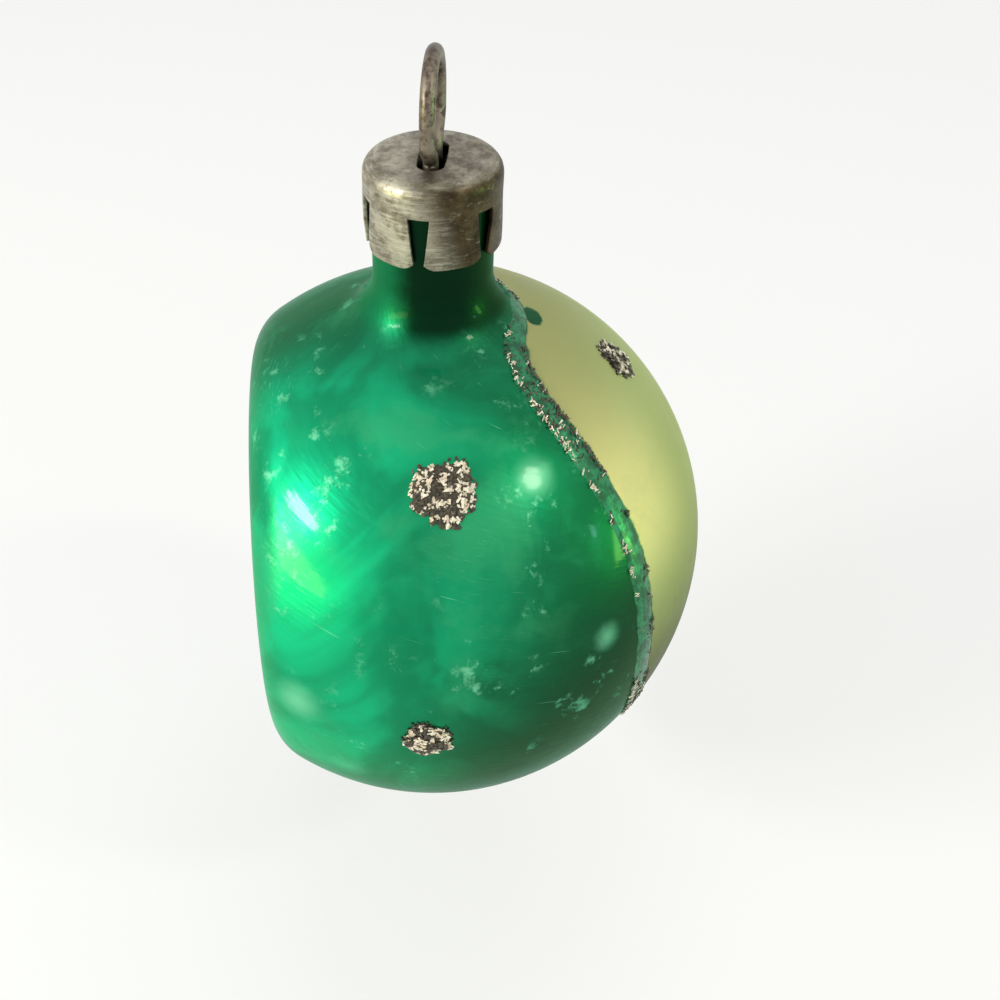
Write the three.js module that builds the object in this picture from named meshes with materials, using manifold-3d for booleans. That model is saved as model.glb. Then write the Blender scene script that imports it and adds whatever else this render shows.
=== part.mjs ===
// A blown glass indent ornament: a hollow ball with one fluted dish pressed into its side, a stamped
// metal cap on its neck, a spring wire that hangs it, and patches of glitter stuck to the glass.
// Millimetres, +Z up. The dish faces -X. The origin is the top of the eye, where a hook carries it.
import * as THREE from "three";
import { mergeVertices } from "three/addons/utils/BufferGeometryUtils.js";
import Module from "manifold-3d";

const wasm = await Module();
wasm.setup();

function degrees(value) {
  return THREE.MathUtils.degToRad(value);
}

// A direction by its azimuth from +X towards +Y and its elevation, in degrees.
function headed(azimuth, elevation) {
  const level = Math.cos(degrees(elevation));
  return new THREE.Vector3(
    level * Math.cos(degrees(azimuth)),
    level * Math.sin(degrees(azimuth)),
    Math.sin(degrees(elevation)),
  );
}

// Blown ball
const BALL_R = 22.5;
const GLASS_WALL = 0.7;
const BALL_SAG = 0.9; // how far the ball's foot hangs below a true sphere's
const BALL_COLUMNS = 60;
const OUTER_RINGS = 20;
const INNER_RINGS = 12;

// Dish pressed into the side, with scooped flutes between sharp ridges
const DISH_PLANE = 14.4; // from the ball's centre to the plane that the rim touches
const DISH_DEPTH = 11;
const RIM_ROUND = 5;
const LIP_ROUND = 2.2;
const LIP_ANGLE = degrees(52);
const FLUTES = 12;
const FLUTE_DEPTH = 1.1;
const PLAIN_CENTRE = 0.2; // share of the dish's radius that has no flutes
const RIM_RINGS = 5;
const LIP_RINGS = 3;
const DISH_RINGS = 8;

// Neck
const NECK_R = 4.45;
const NECK_FILLET = 4.4;
const NECK_LENGTH = 9.8; // above the top of the ball
const ROUND_SEGMENTS = 48;
const FILLET_STEPS = 6;

// Cap
const CAP_SHEET = 0.3;
const CAP_FIT = 0.23; // between the neck and the inside of the cap
const CAP_SHOULDER = 1.1;
const SHOULDER_STEPS = 4;
const CAP_HEIGHT = 6.35;
const CAP_GAP = 1.5; // between the neck's end and the inside of the cap's top
const CRIMP_CLEARANCE = 0.15; // between the tabs' ends and the neck
const TABS = 6;
const TAB_SLOT_HEIGHT = 3.9;
const TAB_SLOT_TOP = 1.55;
const TAB_SLOT_FOOT = 0.75;
const CAP_ANGLE = degrees(-16); // how far the cap is turned on the neck

// Hanger wire
const WIRE_D = 1.1;
const EYE_HEIGHT = 7.6; // from the cap's top to the top of the wire
const EYE_HALF_WIDTH = 3.4; // to the middle of the wire
const EYE_SHOULDER = 2.3; // height over which the legs spread into the eye
const EYE_ANGLE = degrees(-10.5); // how far the eye and its slot are turned on the neck
const LEG_HALF_SPACING = 1.35; // where the legs pass through the cap
const WIRE_SLOT_END_CLEARANCE = 0.45;
const WIRE_SLOT_SIDE_CLEARANCE = 0.45;
const SLOT_STEPS = 8;
const BORE_CLEARANCE = 0.3; // between the sprung legs and the inside of the neck
const LEG_DEPTH = 11.4;
const FLARE_START = 0.05; // below the cap's sheet
const FLARE_DROP = 1.6;
const QUARTER_HANDLE = 0.5523; // handle of a curve that draws a quarter circle, over its radius
const WIRE_SIDES = 8;
const WIRE_STEPS = 76;

// Edge between the two colours of the ball, a ring that wavers round its own axis
const EDGE_AXIS = headed(14, 16);
const EDGE_ANGLE = degrees(60);
const EDGE_WAVER_ANGLE = degrees(4.6);
const EDGE_WAVES = 3;
const EDGE_CREST_ANGLE = degrees(98);
const EDGE_DIP_ANGLE = degrees(7.7); // a slip of the hand towards the axis, beside the neck
const EDGE_DIP_TURN = degrees(95);
const EDGE_DIP_SPAN = degrees(9);
const BAND_WIDTH = 1.9;
const BAND_HEIGHT = 0.28;
const BAND_STATIONS = 96;

// Glitter dots, each set out as a ring round an axis of the ball
const BOND = 0.08; // the glue between the glass and a patch
const DOT_EDGE_HEIGHT = 0.16;
const DOT_HEIGHT = 0.42;
const DOT_CORNERS = 16;
const DOT_CROWN = 0.6; // share of a patch's radius where its dome ends
// Each wave in a patch's outline: how many go round it, and how far it moves the outline.
const DOT_WAVES = [
  [5, 0.07],
  [3, 0.05],
];

// Each dot: degrees from its axis, degrees round that axis from the level side, and radius.
const GREEN_DOTS = [
  [91, 133, 2.3],
  [95, -176, 1.75],
  [93, -122, 1.9],
  [91, -68, 1.8],
  [94, -14, 2],
  [92, 40, 1.9],
];
const CREAM_DOTS = [
  [38, 110, 1.7],
  [37, 231, 1.8],
  [39, 350, 1.9],
];

// Turns a closed geometry into a solid that can be joined and cut.
function solid(geometry) {
  const bare = geometry.clone();
  bare.deleteAttribute("normal");
  bare.deleteAttribute("uv");
  const merged = mergeVertices(bare, 1e-4);
  const corners = [];
  const index = merged.index.array;
  for (let i = 0; i < index.length; i += 3) {
    const [a, b, c] = [index[i], index[i + 1], index[i + 2]];
    if (a !== b && b !== c && c !== a) corners.push(a, b, c);
  }
  return new wasm.Manifold(
    new wasm.Mesh({
      numProp: 3,
      vertProperties: merged.attributes.position.array,
      triVerts: new Uint32Array(corners),
    }),
  );
}

function geometryOf(manifold) {
  const mesh = manifold.getMesh();
  const places = new Float32Array(mesh.numVert * 3);
  for (let i = 0; i < mesh.numVert; i += 1) {
    const start = i * mesh.numProp;
    places.set(mesh.vertProperties.subarray(start, start + 3), i * 3);
  }
  const geometry = new THREE.BufferGeometry();
  geometry.setAttribute("position", new THREE.BufferAttribute(places, 3));
  geometry.setIndex(new THREE.BufferAttribute(mesh.triVerts, 1));
  geometry.computeVertexNormals();
  return geometry;
}

function geometryFrom(points, corners) {
  const geometry = new THREE.BufferGeometry();
  const places = points.flatMap((point) => point.toArray());
  geometry.setAttribute("position", new THREE.Float32BufferAttribute(places, 3));
  geometry.setIndex(corners);
  geometry.computeVertexNormals();
  return geometry;
}

// Revolves a profile of [radius, height] points round Z; one that leaves the axis closes on itself.
function turned(profile, segments = ROUND_SEGMENTS) {
  const points = profile.map(([radius, height]) => new THREE.Vector2(radius, height));
  if (points[0].x > 0) points.push(points[0].clone());
  return new THREE.LatheGeometry(points, segments).rotateX(Math.PI / 2);
}

// Points of a circle's arc as [across, up], both ends included.
function arc(across, up, radius, from, to, steps) {
  return Array.from({ length: steps + 1 }, (_, i) => {
    const angle = from + ((to - from) * i) / steps;
    return [across + radius * Math.cos(angle), up + radius * Math.sin(angle)];
  });
}

// The lower half of the ball is drawn out a little by its own weight while it is soft.
function sagged(point) {
  if (point.z < 0) point.z *= 1 + BALL_SAG / BALL_R;
  return point;
}

// The blown skin's line from the back of the ball, over the rim and down to the dish's centre.
// Each station has its place along the dish's axis, its radius and its way in from the air.
const rimCentreX = RIM_ROUND - DISH_PLANE;
const rimCentreR = Math.sqrt((BALL_R - RIM_ROUND) ** 2 - rimCentreX ** 2);
const rimStart = Math.atan2(rimCentreR, rimCentreX);
const dishCentreX = DISH_DEPTH - DISH_PLANE;
const dishMouthX = LIP_ROUND * (1 - Math.cos(LIP_ANGLE)) - DISH_PLANE;
const dishMouthR = rimCentreR - LIP_ROUND * Math.sin(LIP_ANGLE);
const dishPower = (Math.tan(LIP_ANGLE) * dishMouthR) / (dishCentreX - dishMouthX);

function roundStations(centreX, centreR, radius, from, to, rings) {
  return arc(centreX, centreR, radius, from, to, rings).map(([x, r], i) => {
    const angle = from + ((to - from) * i) / rings;
    return { x, r, inX: -Math.cos(angle), inR: -Math.sin(angle), flute: 0 };
  });
}

function dishStations() {
  return Array.from({ length: DISH_RINGS }, (_, i) => {
    const share = 1 - (i + 1) / DISH_RINGS;
    const slope = (dishPower * (dishCentreX - dishMouthX) * share ** (dishPower - 1)) / dishMouthR;
    const length = Math.hypot(1, slope);
    const along = Math.max(0, (share - PLAIN_CENTRE) / (1 - PLAIN_CENTRE));
    return {
      x: dishCentreX - (dishCentreX - dishMouthX) * share ** dishPower,
      r: dishMouthR * share,
      inX: 1 / length,
      inR: slope / length,
      flute: FLUTE_DEPTH * Math.sin(Math.PI * along),
    };
  });
}

function skinStations(ballRings) {
  const lipX = LIP_ROUND - DISH_PLANE;
  return [
    ...roundStations(0, 0, BALL_R, 0, rimStart, ballRings),
    ...roundStations(rimCentreX, rimCentreR, RIM_ROUND, rimStart, Math.PI, RIM_RINGS).slice(1),
    ...roundStations(lipX, rimCentreR, LIP_ROUND, Math.PI, Math.PI + LIP_ANGLE, LIP_RINGS).slice(1),
    ...dishStations(),
  ];
}

// One face of the skin as a closed body, set in from the outside by the given depth.
function skinBody(ballRings, inset) {
  const stations = skinStations(ballRings);
  const place = (station, column) => {
    const turn = (2 * Math.PI * column) / BALL_COLUMNS;
    const sink = inset + station.flute * Math.abs(Math.sin((FLUTES * turn) / 2));
    const x = station.x + sink * station.inX;
    const r = station.r + sink * station.inR;
    return sagged(new THREE.Vector3(x, r * Math.cos(turn), r * Math.sin(turn)));
  };
  const back = new THREE.Vector3(BALL_R - inset, 0, 0);
  const dishCentre = new THREE.Vector3(dishCentreX + inset, 0, 0);
  const rings = stations.slice(1, -1);
  const points = [back];
  for (const station of rings) {
    for (let column = 0; column < BALL_COLUMNS; column += 1) points.push(place(station, column));
  }
  points.push(dishCentre);
  const at = (ring, column) => 1 + ring * BALL_COLUMNS + (column % BALL_COLUMNS);
  const corners = [];
  for (let column = 0; column < BALL_COLUMNS; column += 1) {
    corners.push(0, at(0, column), at(0, column + 1));
    for (let ring = 0; ring + 1 < rings.length; ring += 1) {
      const [a, b] = [at(ring, column), at(ring, column + 1)];
      const [c, d] = [at(ring + 1, column), at(ring + 1, column + 1)];
      corners.push(a, c, d, a, d, b);
    }
    corners.push(at(rings.length - 1, column), points.length - 1, at(rings.length - 1, column + 1));
  }
  return geometryFrom(points, corners);
}

// The neck rises out of the ball through a hollow fillet, whose centre lies outside the glass.
const filletR = NECK_R + NECK_FILLET;
const filletZ = Math.sqrt((BALL_R + NECK_FILLET) ** 2 - filletR ** 2);
const neckTop = BALL_R + NECK_LENGTH;

function neckBody(inset, top) {
  const radius = NECK_FILLET + inset;
  const fromBall = Math.atan2(-filletZ, -filletR);
  const hollow = arc(filletR, filletZ, radius, fromBall, -Math.PI, FILLET_STEPS);
  const [footR, footZ] = hollow[0];
  return turned([
    [0, footZ - NECK_R],
    [footR, footZ - GLASS_WALL / 2],
    ...hollow,
    [NECK_R - inset, top],
    [0, top],
  ]);
}

function glassBody() {
  const outside = solid(skinBody(OUTER_RINGS, 0)).add(solid(neckBody(0, neckTop)));
  const bore = solid(neckBody(GLASS_WALL, neckTop + GLASS_WALL));
  const inside = solid(skinBody(INNER_RINGS, GLASS_WALL)).add(bore);
  return geometryOf(outside.subtract(inside));
}

// The cap's heights count from the outside of its top.
const boreR = NECK_R - GLASS_WALL;
const capR = NECK_R + CAP_FIT + CAP_SHEET;
const capTop = neckTop + CAP_GAP + CAP_SHEET;
const tabFootR = NECK_R + CRIMP_CLEARANCE;
const wireSlotLength = 2 * (LEG_HALF_SPACING + WIRE_SLOT_END_CLEARANCE) + WIRE_D;
const wireSlotWidth = WIRE_D + 2 * WIRE_SLOT_SIDE_CLEARANCE;

function capShell() {
  const shoulder = CAP_SHOULDER;
  const crimpTop = -CAP_HEIGHT + TAB_SLOT_HEIGHT;
  const crimpWaist = (crimpTop - CAP_HEIGHT) / 2;
  const outer = arc(capR - shoulder, -shoulder, shoulder, 0, Math.PI / 2, SHOULDER_STEPS);
  const inner = arc(capR - shoulder, -shoulder, shoulder - CAP_SHEET, Math.PI / 2, 0, SHOULDER_STEPS);
  return turned([
    [0, -CAP_SHEET],
    ...inner,
    [capR - CAP_SHEET, crimpWaist],
    [tabFootR, -CAP_HEIGHT],
    [tabFootR + CAP_SHEET, -CAP_HEIGHT],
    [capR, crimpWaist],
    ...outer,
    [0, 0],
  ]);
}

// The slit between two tabs closes towards its foot, because the tabs are bent in.
function tabSlit() {
  const reach = capR + CAP_SHEET;
  const top = TAB_SLOT_HEIGHT - CAP_HEIGHT;
  const foot = -CAP_HEIGHT - CAP_SHEET;
  const outline = new THREE.Shape();
  outline.moveTo(-TAB_SLOT_TOP / 2, top);
  outline.lineTo(-TAB_SLOT_FOOT / 2, foot);
  outline.lineTo(TAB_SLOT_FOOT / 2, foot);
  outline.lineTo(TAB_SLOT_TOP / 2, top);
  const cut = { depth: reach, bevelEnabled: false, steps: 1 };
  return new THREE.ExtrudeGeometry(outline, cut).rotateX(Math.PI / 2);
}

function wireSlot() {
  const half = wireSlotWidth / 2;
  const straight = wireSlotLength / 2 - half;
  const outline = new THREE.Shape();
  outline.absarc(0, straight, half, 0, Math.PI, false);
  outline.absarc(0, -straight, half, Math.PI, 2 * Math.PI, false);
  const past = 2 * CAP_SHEET;
  const cut = { depth: 2 * past, bevelEnabled: false, steps: 1, curveSegments: SLOT_STEPS };
  const slot = new THREE.ExtrudeGeometry(outline, cut).translate(0, 0, -CAP_SHEET / 2 - past);
  return slot.rotateZ(EYE_ANGLE - CAP_ANGLE);
}

function capBody() {
  let body = solid(capShell()).subtract(solid(wireSlot()));
  for (let i = 0; i < TABS; i += 1) {
    body = body.subtract(solid(tabSlit().rotateZ((2 * Math.PI * i) / TABS)));
  }
  return geometryOf(body);
}

// The wire runs up one leg, round the eye and down the other, in one plane.
function hangerBody() {
  const eyeTop = EYE_HEIGHT - WIRE_D / 2;
  const eyeSide = eyeTop - EYE_HALF_WIDTH;
  const pull = EYE_HALF_WIDTH * QUARTER_HANDLE;
  const legY = boreR - BORE_CLEARANCE - WIRE_D / 2;
  const flareTop = -CAP_SHEET - FLARE_START;
  const flareFoot = flareTop - FLARE_DROP;
  const ease = FLARE_DROP / 2;
  const rise = EYE_SHOULDER / 2;
  const at = (y, z) => new THREE.Vector3(0, y, z);
  const half = (side) => [
    new THREE.LineCurve3(at(side * legY, -LEG_DEPTH), at(side * legY, flareFoot)),
    new THREE.CubicBezierCurve3(
      at(side * legY, flareFoot),
      at(side * legY, flareFoot + ease),
      at(side * LEG_HALF_SPACING, flareTop - ease),
      at(side * LEG_HALF_SPACING, flareTop),
    ),
    new THREE.LineCurve3(at(side * LEG_HALF_SPACING, flareTop), at(side * LEG_HALF_SPACING, 0)),
    new THREE.CubicBezierCurve3(
      at(side * LEG_HALF_SPACING, 0),
      at(side * LEG_HALF_SPACING, rise),
      at(side * EYE_HALF_WIDTH, rise),
      at(side * EYE_HALF_WIDTH, EYE_SHOULDER),
    ),
    new THREE.LineCurve3(at(side * EYE_HALF_WIDTH, EYE_SHOULDER), at(side * EYE_HALF_WIDTH, eyeSide)),
    new THREE.CubicBezierCurve3(
      at(side * EYE_HALF_WIDTH, eyeSide),
      at(side * EYE_HALF_WIDTH, eyeSide + pull),
      at(side * pull, eyeTop),
      at(0, eyeTop),
    ),
  ];
  const backwards = (curve) => {
    if (curve.isLineCurve3) return new THREE.LineCurve3(curve.v2, curve.v1);
    return new THREE.CubicBezierCurve3(curve.v3, curve.v2, curve.v1, curve.v0);
  };
  const path = new THREE.CurvePath();
  half(-1).forEach((curve) => path.add(curve));
  half(1).reverse().forEach((curve) => path.add(backwards(curve)));
  const section = new THREE.Shape();
  for (let i = 0; i < WIRE_SIDES; i += 1) {
    const angle = (2 * Math.PI * i) / WIRE_SIDES;
    const corner = [(WIRE_D / 2) * Math.cos(angle), (WIRE_D / 2) * Math.sin(angle)];
    if (i === 0) section.moveTo(...corner);
    else section.lineTo(...corner);
  }
  return new THREE.ExtrudeGeometry(section, { extrudePath: path, steps: WIRE_STEPS, bevelEnabled: false });
}

// The place on the outside of the glass in a direction from the ball's centre, raised by a height.
function onGlass(direction, height) {
  const unit = direction.clone().normalize();
  const across = Math.hypot(unit.x, unit.y);
  const footAngle = Math.atan2(filletR, filletZ);
  let reach = BALL_R;
  let lift = height;
  if (unit.z > 0 && Math.atan2(across, unit.z) < footAngle) {
    const toCentre = across * filletR + unit.z * filletZ;
    const chord = toCentre ** 2 - filletR ** 2 - filletZ ** 2 + (NECK_FILLET - height) ** 2;
    reach = toCentre - Math.sqrt(Math.max(0, chord));
    lift = 0;
  }
  return sagged(unit.multiplyScalar(reach + lift));
}

// Two directions square to an axis, the first one level.
function squareTo(axis) {
  const level = new THREE.Vector3(-axis.y, axis.x, 0).normalize();
  return [level, new THREE.Vector3().crossVectors(axis, level)];
}

// A direction at an angle from an axis, turned round it from its level side.
function roundAxis(axis, angle, turn) {
  const [level, square] = squareTo(axis);
  return axis
    .clone()
    .multiplyScalar(Math.cos(angle))
    .addScaledVector(level, Math.sin(angle) * Math.cos(turn))
    .addScaledVector(square, Math.sin(angle) * Math.sin(turn));
}

// The edge's angle from its axis, all the way round it: laid by hand, it wanders off a true circle.
function edgeAngle(turn) {
  const waver = EDGE_WAVER_ANGLE * Math.cos(EDGE_WAVES * (turn - EDGE_CREST_ANGLE));
  const dip = EDGE_DIP_ANGLE * Math.exp(-(((turn - EDGE_DIP_TURN) / EDGE_DIP_SPAN) ** 2) / 2);
  return EDGE_ANGLE + waver - dip;
}

// The glitter stripe lies along the edge, on the side away from the axis, and narrows past the neck.
function bandBody() {
  const up = new THREE.Vector3(0, 0, 1);
  const neckEdge = Math.atan2(NECK_R + NECK_FILLET / 2, filletZ);
  const points = [];
  const corners = [];
  for (let i = 0; i < BAND_STATIONS; i += 1) {
    const turn = (2 * Math.PI * i) / BAND_STATIONS;
    const near = roundAxis(EDGE_AXIS, edgeAngle(turn), turn);
    const width = Math.min(BAND_WIDTH / BALL_R, near.angleTo(up) - neckEdge);
    const far = roundAxis(EDGE_AXIS, edgeAngle(turn) + width, turn);
    points.push(onGlass(near, BOND), onGlass(near, BOND + BAND_HEIGHT));
    points.push(onGlass(far, BOND + BAND_HEIGHT), onGlass(far, BOND));
    const here = 4 * i;
    const next = 4 * ((i + 1) % BAND_STATIONS);
    for (let side = 0; side < 4; side += 1) {
      const other = (side + 1) % 4;
      corners.push(here + side, here + other, next + other, here + side, next + other, next + side);
    }
  }
  return geometryFrom(points, corners);
}

// A patch of glitter with a ragged outline, domed over its middle.
function dotBody(centre, radius, seed) {
  const axis = centre.clone().normalize();
  const [level, square] = squareTo(axis);
  const ragged = (angle) =>
    DOT_WAVES.reduce((sum, [waves, size]) => sum + size * Math.sin(waves * (angle + seed)), 1);
  const ring = (share, height) =>
    Array.from({ length: DOT_CORNERS }, (_, i) => {
      const angle = (2 * Math.PI * i) / DOT_CORNERS;
      const spread = (share * ragged(angle) * radius) / BALL_R;
      const direction = axis
        .clone()
        .addScaledVector(level, spread * Math.cos(angle))
        .addScaledVector(square, spread * Math.sin(angle));
      return onGlass(direction, height);
    });
  const points = [
    onGlass(axis, BOND),
    ...ring(1, BOND),
    ...ring(1, BOND + DOT_EDGE_HEIGHT),
    ...ring(DOT_CROWN, BOND + DOT_HEIGHT),
    onGlass(axis, BOND + DOT_HEIGHT),
  ];
  const at = (row, i) => 1 + row * DOT_CORNERS + (i % DOT_CORNERS);
  const corners = [];
  for (let i = 0; i < DOT_CORNERS; i += 1) {
    corners.push(0, at(0, i + 1), at(0, i));
    for (let row = 0; row < 2; row += 1) {
      corners.push(at(row, i), at(row, i + 1), at(row + 1, i + 1));
      corners.push(at(row, i), at(row + 1, i + 1), at(row + 1, i));
    }
    corners.push(at(2, i), at(2, i + 1), points.length - 1);
  }
  return geometryFrom(points, corners);
}

const ornament = new THREE.Group();
ornament.position.z = -(capTop + EYE_HEIGHT - WIRE_D);

function addPiece(parent, name, geometry, material) {
  const mesh = new THREE.Mesh(geometry, new THREE.MeshStandardMaterial(material));
  mesh.name = name;
  parent.add(mesh);
}

addPiece(ornament, "glass_body", glassBody(), { color: 0x078a57, roughness: 0.15, metalness: 0.7 });

const capGroup = new THREE.Group();
capGroup.position.z = capTop;
capGroup.rotation.z = CAP_ANGLE;
ornament.add(capGroup);
addPiece(capGroup, "cap", capBody(), { color: 0x9a9184, roughness: 0.5, metalness: 0.9 });

const eyeGroup = new THREE.Group();
eyeGroup.position.z = capTop;
eyeGroup.rotation.z = EYE_ANGLE;
ornament.add(eyeGroup);
addPiece(eyeGroup, "hanger_wire", hangerBody(), { color: 0x5d554c, roughness: 0.45, metalness: 0.9 });

const glitter = { color: 0xd8cdb6, roughness: 0.6, metalness: 0.3 };
addPiece(ornament, "glitter_band", bandBody(), glitter);

function addDots(side, axis, centres) {
  centres.forEach(([angle, turn, radius], i) => {
    const centre = roundAxis(axis, degrees(angle), degrees(turn));
    addPiece(ornament, `glitter_dot_${side}_${i + 1}`, dotBody(centre, radius, angle + turn), glitter);
  });
}

addDots("green", headed(0, 0), GREEN_DOTS);
addDots("cream", EDGE_AXIS, CREAM_DOTS);

export default ornament;
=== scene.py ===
import math
import random

import bmesh
import bpy
from mathutils import Matrix, Vector, noise


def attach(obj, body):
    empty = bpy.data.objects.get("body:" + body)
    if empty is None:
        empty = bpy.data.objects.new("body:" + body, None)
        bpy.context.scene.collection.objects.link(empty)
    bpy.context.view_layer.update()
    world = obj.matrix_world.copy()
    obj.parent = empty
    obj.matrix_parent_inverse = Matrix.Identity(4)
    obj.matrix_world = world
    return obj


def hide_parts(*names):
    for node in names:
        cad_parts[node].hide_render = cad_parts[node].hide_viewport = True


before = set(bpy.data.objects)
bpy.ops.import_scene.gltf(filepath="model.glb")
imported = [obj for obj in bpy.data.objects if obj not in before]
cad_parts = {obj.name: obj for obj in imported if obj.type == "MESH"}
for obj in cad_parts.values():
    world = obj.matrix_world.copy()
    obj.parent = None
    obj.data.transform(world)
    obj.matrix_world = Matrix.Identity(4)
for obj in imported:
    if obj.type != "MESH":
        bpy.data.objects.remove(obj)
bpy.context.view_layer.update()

MM = 0.001
UP = Vector((0, 0, 1))

# Sizes of the ornament, in millimetres, as the solids have them.
BALL_R = 22.5
BALL_CENTRE_Z = -40.6
BALL_SAG = 0.9
GLASS_WALL = 0.7
DISH_PLANE = 14.4
DISH_DEPTH = 11
RIM_ROUND = 5
LIP_ROUND = 2.2
LIP_ANGLE = math.radians(52)
FLUTES = 12
FLUTE_DEPTH = 1.1
PLAIN_CENTRE = 0.2
NECK_R = 4.45
NECK_FILLET = 4.4
NECK_TOP = 32.3

CAP_TOP_Z = -6.5
CAP_SHEET = 0.3
CAP_R = 4.98
CAP_SHOULDER = 1.1
CAP_HEIGHT = 6.35
CAP_FOOT_R = 4.9
TABS = 6
SLIT_TOP_Z = -2.45
SLIT_TOP_WIDTH = 1.55
SLIT_FOOT_WIDTH = 0.75
WIRE_SLOT_HALF_LENGTH = 2.35
WIRE_SLOT_HALF_WIDTH = 1
CAP_ANGLE = math.radians(-16)

WIRE_D = 1.1
LEG_Y = 2.9
LEG_FOOT_Z = -11.4
FLARE_TOP_Z = -0.35
FLARE_FOOT_Z = -1.95
SLOT_LEG_Y = 1.35
SHOULDER_Z = 2.3
EYE_Y = 3.4
EYE_TOP_Z = 7.05
EYE_ANGLE = math.radians(-10.5)
QUARTER_HANDLE = 0.5523

EDGE_ANGLE = math.radians(60)
EDGE_WAVER_ANGLE = math.radians(4.6)
EDGE_WAVES = 3
EDGE_CREST_ANGLE = math.radians(98)
EDGE_DIP_ANGLE = math.radians(7.7)
EDGE_DIP_TURN = math.radians(95)
EDGE_DIP_SPAN = math.radians(9)
BAND_WIDTH = 1.9

ball_centre = Vector((0, 0, BALL_CENTRE_Z * MM))


def headed(azimuth, elevation):
    level = math.cos(math.radians(elevation))
    return Vector((
        level * math.cos(math.radians(azimuth)),
        level * math.sin(math.radians(azimuth)),
        math.sin(math.radians(elevation)),
    ))


EDGE_AXIS = headed(14, 16)
DISH_AXIS = headed(0, 0)
# Each dot's angle from its axis, its turn round that axis and its radius.
GREEN_DOTS = [
    (91, 133, 2.3), (95, -176, 1.75), (93, -122, 1.9), (91, -68, 1.8), (94, -14, 2), (92, 40, 1.9),
]
CREAM_DOTS = [(38, 110, 1.7), (37, 231, 1.8), (39, 350, 1.9)]

# The fillet under the neck.
fillet_r = NECK_R + NECK_FILLET
fillet_z = math.sqrt((BALL_R + NECK_FILLET) ** 2 - fillet_r ** 2)

# The rim of the dish.
rim_x = RIM_ROUND - DISH_PLANE
rim_r = math.sqrt((BALL_R - RIM_ROUND) ** 2 - rim_x ** 2)
rim_start = math.atan2(rim_r, rim_x)
dish_centre_x = DISH_DEPTH - DISH_PLANE
dish_mouth_x = LIP_ROUND * (1 - math.cos(LIP_ANGLE)) - DISH_PLANE
dish_mouth_r = rim_r - LIP_ROUND * math.sin(LIP_ANGLE)
dish_power = math.tan(LIP_ANGLE) * dish_mouth_r / (dish_centre_x - dish_mouth_x)


def square_to(axis):
    level = Vector((-axis.y, axis.x, 0)).normalized()
    return level, axis.cross(level)


def round_axis(axis, angle, turn):
    level, square = square_to(axis)
    side = level * math.cos(turn) + square * math.sin(turn)
    return axis * math.cos(angle) + side * math.sin(angle)


def edge_angle(turn):
    waver = EDGE_WAVER_ANGLE * math.cos(EDGE_WAVES * (turn - EDGE_CREST_ANGLE))
    dip = EDGE_DIP_ANGLE * math.exp(-(((turn - EDGE_DIP_TURN) / EDGE_DIP_SPAN) ** 2) / 2)
    return EDGE_ANGLE + waver - dip


def sagged(point):
    """A point round the ball's centre, in millimetres, lowered where the ball hangs below a sphere."""
    if point.z < 0:
        point.z *= 1 + BALL_SAG / BALL_R
    return point


def on_glass(direction, height):
    """The place on the outside of the glass in a direction from the ball's centre, in metres."""
    unit = direction.normalized()
    across = math.hypot(unit.x, unit.y)
    reach = BALL_R + height
    if unit.z > 0 and math.atan2(across, unit.z) < math.atan2(fillet_r, fillet_z):
        to_centre = across * fillet_r + unit.z * fillet_z
        chord = to_centre ** 2 - fillet_r ** 2 - fillet_z ** 2 + (NECK_FILLET - height) ** 2
        reach = to_centre - math.sqrt(max(0, chord))
    return ball_centre + sagged(unit * reach) * MM


def arc(across, up, radius, start, end, steps):
    points = []
    for i in range(steps + 1):
        angle = start + (end - start) * i / steps
        points.append((across + radius * math.cos(angle), up + radius * math.sin(angle)))
    return points


# Meshes

def finished(bm, name, body, node, material, smooth=True):
    """Makes a piece of a finished bmesh: it replaces its node and rides on its body."""
    mesh = bpy.data.meshes.new(name)
    bm.to_mesh(mesh)
    bm.free()
    for polygon in mesh.polygons:
        polygon.use_smooth = smooth
    piece = bpy.data.objects.new(name, mesh)
    bpy.context.scene.collection.objects.link(piece)
    piece.data.materials.append(material)
    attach(piece, body)
    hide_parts(node)
    return piece


def profile_edges(bm, points):
    """Joins points, in metres, into a line of edges for a spin."""
    verts = [bm.verts.new(point) for point in points]
    edges = [bm.edges.new(pair) for pair in zip(verts, verts[1:])]
    return verts + edges


def spun(bm, points, axis, steps):
    geometry = profile_edges(bm, points)
    bmesh.ops.spin(
        bm, geom=geometry, cent=(0, 0, 0), axis=axis, dvec=(0, 0, 0),
        angle=2 * math.pi, steps=steps, use_merge=True, use_duplicate=False,
    )


def open_edges_near(bm, x):
    open_edges = [e for e in bm.edges if len(e.link_faces) == 1]
    return [e for e in open_edges if all(abs(v.co.x - x) < 0.02 * MM for v in e.verts)]


# Columns and rows of the ball's mesh, and how near its doubled places lie, in millimetres.
BALL_COLUMNS = 192
BALL_ROWS = 96
FILLET_ROWS = 12
NECK_ROWS = 8
RIM_ROWS = 18
LIP_ROWS = 10
DISH_ROWS = 40
WELD = 0.002


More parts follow.
